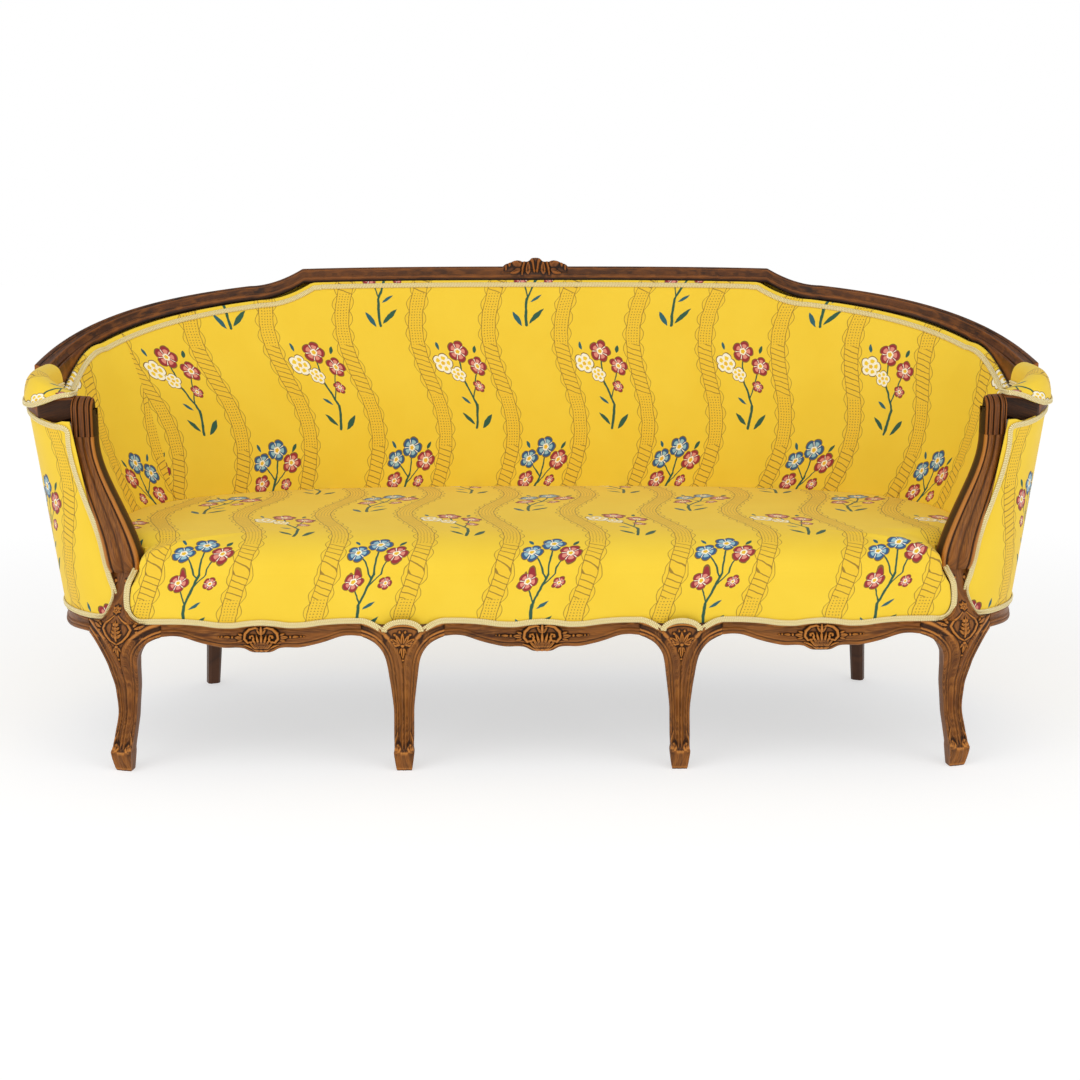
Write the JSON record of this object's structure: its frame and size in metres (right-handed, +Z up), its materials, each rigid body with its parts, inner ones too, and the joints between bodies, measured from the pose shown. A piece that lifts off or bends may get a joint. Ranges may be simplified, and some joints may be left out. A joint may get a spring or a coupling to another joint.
{
  "type": "cabriole sofa",
  "caption": "Low settee with a curved upholstered back and arms, a tight stuffed seat, a moulded top rail with a carved crest, carved aprons and cabriole front legs.",
  "frame": {"origin": "on the floor under the middle of the bounding box", "axes": "+X along the width towards the viewer's right in the picture; +Y from the front towards the back; +Z up"},
  "size_m": [2.038, 0.7848, 0.94],
  "materials": {
    "walnut": "satin varnish",
    "dark_walnut": "satin varnish, darker",
    "beech": "sawn and unfinished",
    "steel": "plain",
    "gimp": "woven braid",
    "jute": "coarse weave",
    "wadding": "felted",
    "black_cloth": "thin plain weave",
    "print_fabric": "printed cotton"
  },
  "bodies": {
    "root": {"front_leg_outer_left": "walnut", "front_leg_outer_right": "walnut", "front_leg_inner_left": "walnut", "front_leg_inner_right": "walnut", "rear_leg_left": "dark_walnut", "rear_leg_right": "dark_walnut", "apron_left": "walnut", "apron_center": "walnut", "apron_right": "walnut", "side_rail_left": "walnut", "side_rail_right": "walnut", "rear_rail": "dark_walnut", "seat_stretcher_left": "beech", "seat_stretcher_right": "beech", "crest_rail": "dark_walnut", "top_rail_left": "dark_walnut", "top_rail_right": "dark_walnut", "arm_rail_left": "dark_walnut", "arm_rail_right": "dark_walnut", "arm_support_left": "walnut", "arm_support_right": "walnut", "back_post_left": "beech", "back_post_right": "beech", "inner_post_left": "beech", "inner_post_right": "beech", "back_tacking_rail": "beech", "side_tacking_rail_left": "beech", "side_tacking_rail_right": "beech", "arm_tacking_rail_left": "beech", "arm_tacking_rail_right": "beech", "corner_blocks": "beech", "corner_block_screws": "steel", "seat_webbing_cross": "jute", "seat_webbing_long": "jute", "seat_hessian": "jute", "seat_stuffing": "wadding", "seat_cover": "print_fabric", "dust_cover": "black_cloth", "back_webbing": "jute", "back_hessian": "jute", "back_stuffing": "wadding", "inner_back_cover": "print_fabric", "inner_arm_cover_left": "print_fabric", "inner_arm_cover_right": "print_fabric", "outer_back_cover": "print_fabric", "outer_arm_cover_left": "print_fabric", "outer_arm_cover_right": "print_fabric", "arm_pad_left": "print_fabric", "arm_pad_right": "print_fabric", "gimp_seat": "gimp", "gimp_back": "gimp", "gimp_outer_arm_left": "gimp", "gimp_outer_arm_right": "gimp", "gimp_arm_pad_left": "gimp", "gimp_arm_pad_right": "gimp"}
  },
  "joints": []
}
